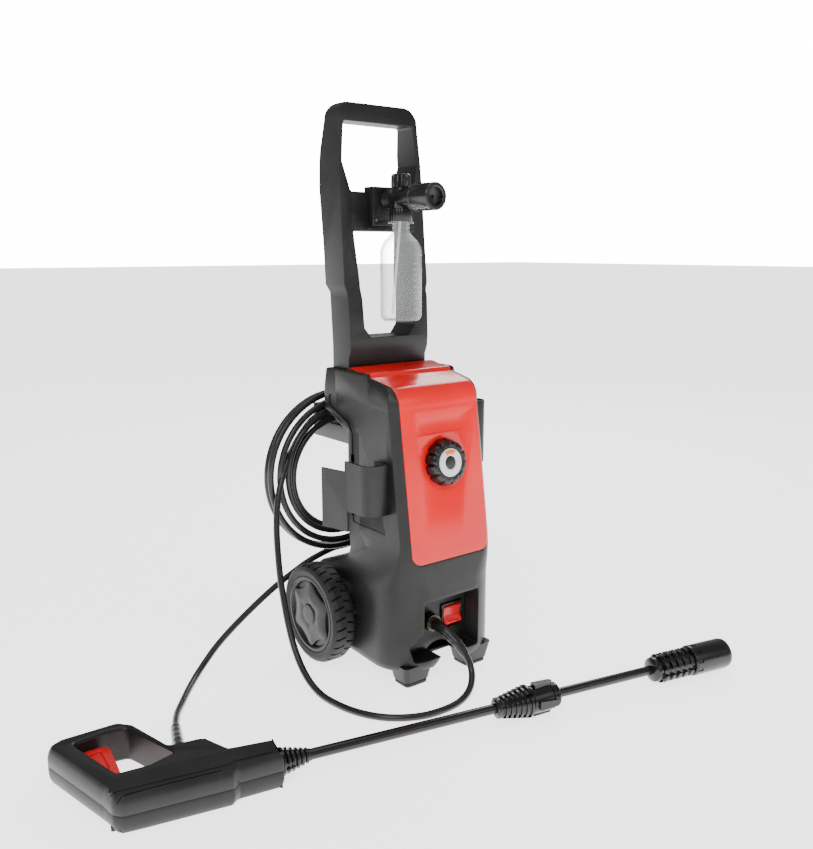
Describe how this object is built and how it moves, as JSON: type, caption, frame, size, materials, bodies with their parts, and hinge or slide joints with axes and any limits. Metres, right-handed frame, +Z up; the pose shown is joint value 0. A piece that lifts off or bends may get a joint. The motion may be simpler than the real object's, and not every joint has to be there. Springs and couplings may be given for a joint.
{
  "type": "pressure washer",
  "caption": "Upright pressure washer on wheels with a tall handle, hose coil on a rear hook, foam bottle in the handle, trigger gun and lance lying in front.",
  "frame": {"origin": "centre of the bottom of the box around the machine and its gun and lance, on the floor", "axes": "+Z up, -Y is the machine's front, +X to the machine's left as it faces forward"},
  "size_m": [0.8734, 0.5063, 0.8],
  "materials": {
    "black_plastic": "satin moulded plastic, fine grain",
    "brass": "machined",
    "cast_metal": "cast",
    "clear_plastic": "clear blown plastic",
    "copper": "wound",
    "gloss_black": "glossy black plastic",
    "hose_rubber": "glossy black hose",
    "red_plastic": "glossy red plastic",
    "steel": "brushed",
    "tyre_black": "dull black tread",
    "white_plastic": "satin white"
  },
  "bodies": {
    "machine": {"front_shell": "black_plastic", "rear_shell": "black_plastic", "front_cover": "red_plastic", "base_plate": "black_plastic", "foot_pads": "hose_rubber", "handle": "black_plastic", "nozzle_rack": "black_plastic", "left_holder": "black_plastic", "right_bracket": "black_plastic", "hose_hook": "black_plastic", "axle": "steel", "axle_clips": "steel", "body_screws": "steel", "switch_box": "gloss_black", "rocker_bezel": "gloss_black", "selector_box": "gloss_black", "outlet_fitting": "brass", "outlet_nut": "gloss_black", "water_inlet": "brass", "mains_gland": "black_plastic", "stop_switch": "gloss_black", "capacitor": "cast_metal", "stator": "steel", "gearbox_plate": "cast_metal", "bearings": "steel", "pump_case": "cast_metal", "pump_head": "cast_metal", "pistons": "steel", "piston_springs": "steel", "gun_shell_lower": "black_plastic", "gun_shell_upper": "black_plastic", "gun_valve": "brass", "trigger_pin": "steel", "outlet_sleeve": "hose_rubber", "hose_front_run": "hose_rubber", "hose_coil": "hose_rubber", "hose_gun_run": "hose_rubber", "gun_sleeve": "hose_rubber"},
    "wheel_left": {"tyre_left": "tyre_black", "hub_left": "black_plastic"},
    "wheel_right": {"tyre_right": "tyre_black", "hub_right": "black_plastic"},
    "knob": {"knob": "black_plastic", "knob_ring": "white_plastic"},
    "rocker": {"rocker": "red_plastic"},
    "foam_set": {"foam_body": "gloss_black", "foam_cap": "gloss_black", "dip_tube": "clear_plastic"},
    "foam_knob": {"foam_knob": "gloss_black"},
    "foam_nozzle": {"foam_nozzle": "gloss_black"},
    "bottle": {"bottle": "clear_plastic"},
    "motor_shaft": {"armature": "copper", "fan": "black_plastic", "pinion": "steel"},
    "pump_drive": {"drive_gear": "white_plastic", "swash_plate": "steel"},
    "trigger": {"trigger": "red_plastic"},
    "rear_lance": {"rear_lance": "gloss_black"},
    "front_lance": {"front_lance": "gloss_black"},
    "lance_nozzle": {"lance_nozzle": "gloss_black"}
  },
  "joints": [
    {"name": "wheel_left_spin", "type": "hinge", "parent": "machine", "child": "wheel_left", "pos_m": [-0.014, 0.156, 0.073], "axis": [1, 0, 0], "continuous": true},
    {"name": "wheel_right_spin", "type": "hinge", "parent": "machine", "child": "wheel_right", "pos_m": [0.216, 0.156, 0.073], "axis": [1, 0, 0], "continuous": true},
    {"name": "knob_turn", "type": "hinge", "parent": "machine", "child": "knob", "pos_m": [0.101, 0.00849, 0.311], "axis": [0, -0.9903, 0.1392], "range_deg": [-135, 135]},
    {"name": "rocker_press", "type": "hinge", "parent": "machine", "child": "rocker", "pos_m": [0.1265, 0.029, 0.0765], "axis": [1, 0, 0], "range_deg": [0, 18]},
    {"name": "foam_plug_slide", "type": "slide", "parent": "machine", "child": "foam_set", "axis": [0, -1, 0], "range_m": [0, 0.016]},
    {"name": "foam_knob_turn", "type": "hinge", "parent": "foam_set", "child": "foam_knob", "pos_m": [0.101, 0.106, 0.69], "axis": [0, 0, 1], "range_deg": [0, 270]},
    {"name": "foam_nozzle_twist", "type": "hinge", "parent": "foam_set", "child": "foam_nozzle", "pos_m": [0.101, 0.051, 0.669], "axis": [0, -1, 0], "range_deg": [0, 90]},
    {"name": "bottle_unscrew", "type": "hinge", "parent": "foam_set", "child": "bottle", "pos_m": [0.101, 0.106, 0.57], "axis": [0, 0, -1], "range_deg": [0, 180]},
    {"name": "motor_spin", "type": "hinge", "parent": "machine", "child": "motor_shaft", "pos_m": [0.101, 0.073, 0.24], "axis": [0, 0, 1], "continuous": true},
    {"name": "pump_spin", "type": "hinge", "parent": "machine", "child": "pump_drive", "pos_m": [0.101, 0.103, 0.15], "axis": [0, 0, 1], "continuous": true},
    {"name": "trigger_squeeze", "type": "hinge", "parent": "machine", "child": "trigger", "pos_m": [-0.39488, -0.03082, 0.0225], "axis": [0, 0, 1], "range_deg": [0, 9], "stiffness_Nm_per_rad": 0.6, "springref_deg": -5.73},
    {"name": "lance_twist", "type": "hinge", "parent": "machine", "child": "rear_lance", "pos_m": [-0.199, -0.0895, 0.0225], "axis": [0.9753, -0.2207, 0], "range_deg": [0, 45]},
    {"name": "front_lance_twist", "type": "hinge", "parent": "rear_lance", "child": "front_lance", "pos_m": [0.12286, -0.16233, 0.0225], "axis": [0.9753, -0.2207, 0], "range_deg": [0, 45]},
    {"name": "lance_nozzle_twist", "type": "hinge", "parent": "front_lance", "child": "lance_nozzle", "pos_m": [0.38621, -0.22192, 0.0225], "axis": [0.9753, -0.2207, 0], "range_deg": [0, 90]}
  ],
  "couplings": [
    {"joint": "pump_spin", "follows": "motor_spin", "ratio": -0.25}
  ]
}
